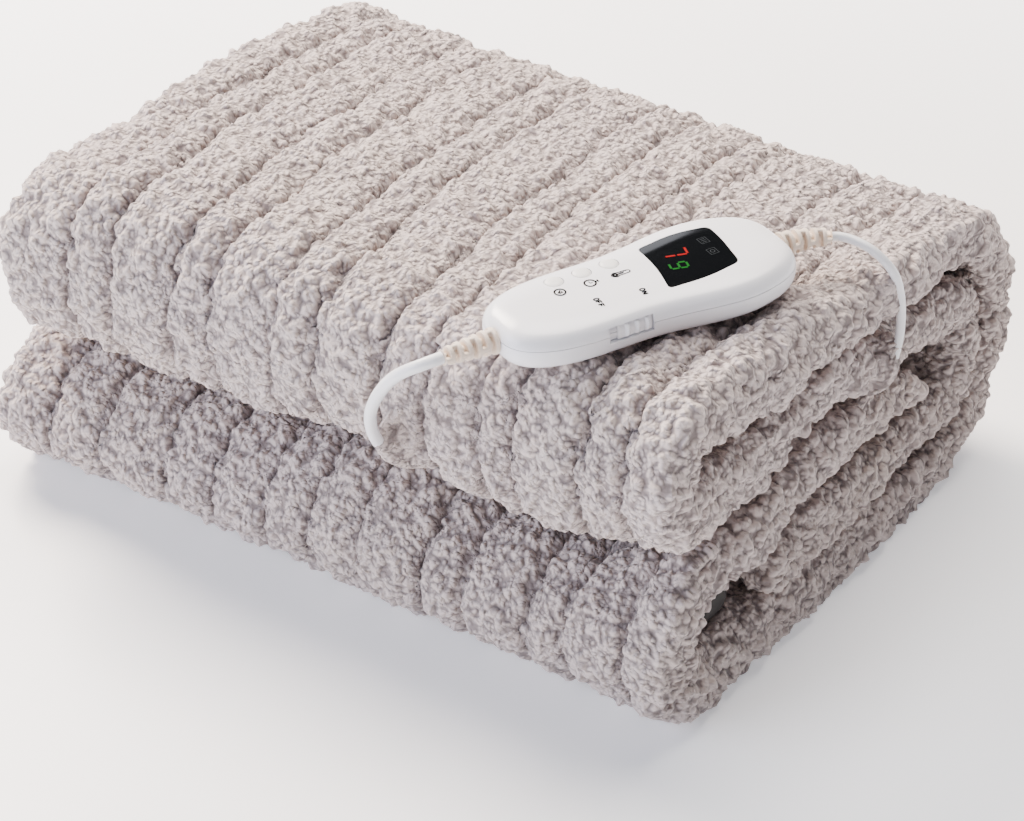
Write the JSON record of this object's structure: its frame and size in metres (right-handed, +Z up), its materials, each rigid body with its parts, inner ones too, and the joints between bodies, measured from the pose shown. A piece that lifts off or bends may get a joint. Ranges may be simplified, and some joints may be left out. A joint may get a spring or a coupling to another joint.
{
  "type": "folded electric underblanket",
  "caption": "Ribbed fleece heated underblanket, folded into layers, with a handset lying on it, a blanket lead tucked into a fold and a coiled mains lead.",
  "frame": {"origin": "centre of the underside of the folded blanket, on the surface that it rests on", "axes": "+X along the front folds towards the end where the handset lies, +Y towards the back fold, +Z up"},
  "size_m": [0.4643, 0.4601, 0.2054],
  "materials": {
    "fleece": "long curly pile, dull",
    "white_abs": "moulded, satin gloss",
    "button_abs": "moulded, milky",
    "black_window": "polished black window",
    "cream_rubber": "moulded, matt",
    "white_pvc": "extruded, semi-matt",
    "grey_plastic": "moulded, semi-matt",
    "pin_metal": "nickel plated"
  },
  "bodies": {
    "blanket_set": {"blanket": "fleece", "handset_lower_shell": "white_abs", "handset_upper_shell": "white_abs", "display_window": "black_window", "mains_relief": "cream_rubber", "lead_relief": "cream_rubber", "mains_cord": "white_pvc", "mains_coil": "white_pvc", "mains_tail": "white_pvc", "cord_tie": "white_pvc", "plug_body": "white_pvc", "plug_relief": "white_pvc", "plug_pin_front": "pin_metal", "plug_pin_back": "pin_metal", "blanket_lead": "white_pvc", "lead_connector": "grey_plastic", "connector_relief": "grey_plastic"},
    "slide_body": {"power_slide": "white_abs"},
    "power_key_body": {"button_power": "button_abs"},
    "timer_key_body": {"button_timer": "button_abs"},
    "heat_key_body": {"button_heat": "button_abs"}
  },
  "joints": [
    {"name": "power_slide_travel", "type": "slide", "parent": "blanket_set", "child": "slide_body", "axis": [-0.4083, -0.9128, 0], "range_m": [0, 0.005]},
    {"name": "power_button_press", "type": "slide", "parent": "blanket_set", "child": "power_key_body", "axis": [0, 0, -1], "range_m": [0, 0.0007], "stiffness_N_per_m": 300},
    {"name": "timer_button_press", "type": "slide", "parent": "blanket_set", "child": "timer_key_body", "axis": [0, 0, -1], "range_m": [0, 0.0007], "stiffness_N_per_m": 300},
    {"name": "heat_button_press", "type": "slide", "parent": "blanket_set", "child": "heat_key_body", "axis": [0, 0, -1], "range_m": [0, 0.0007], "stiffness_N_per_m": 300}
  ]
}
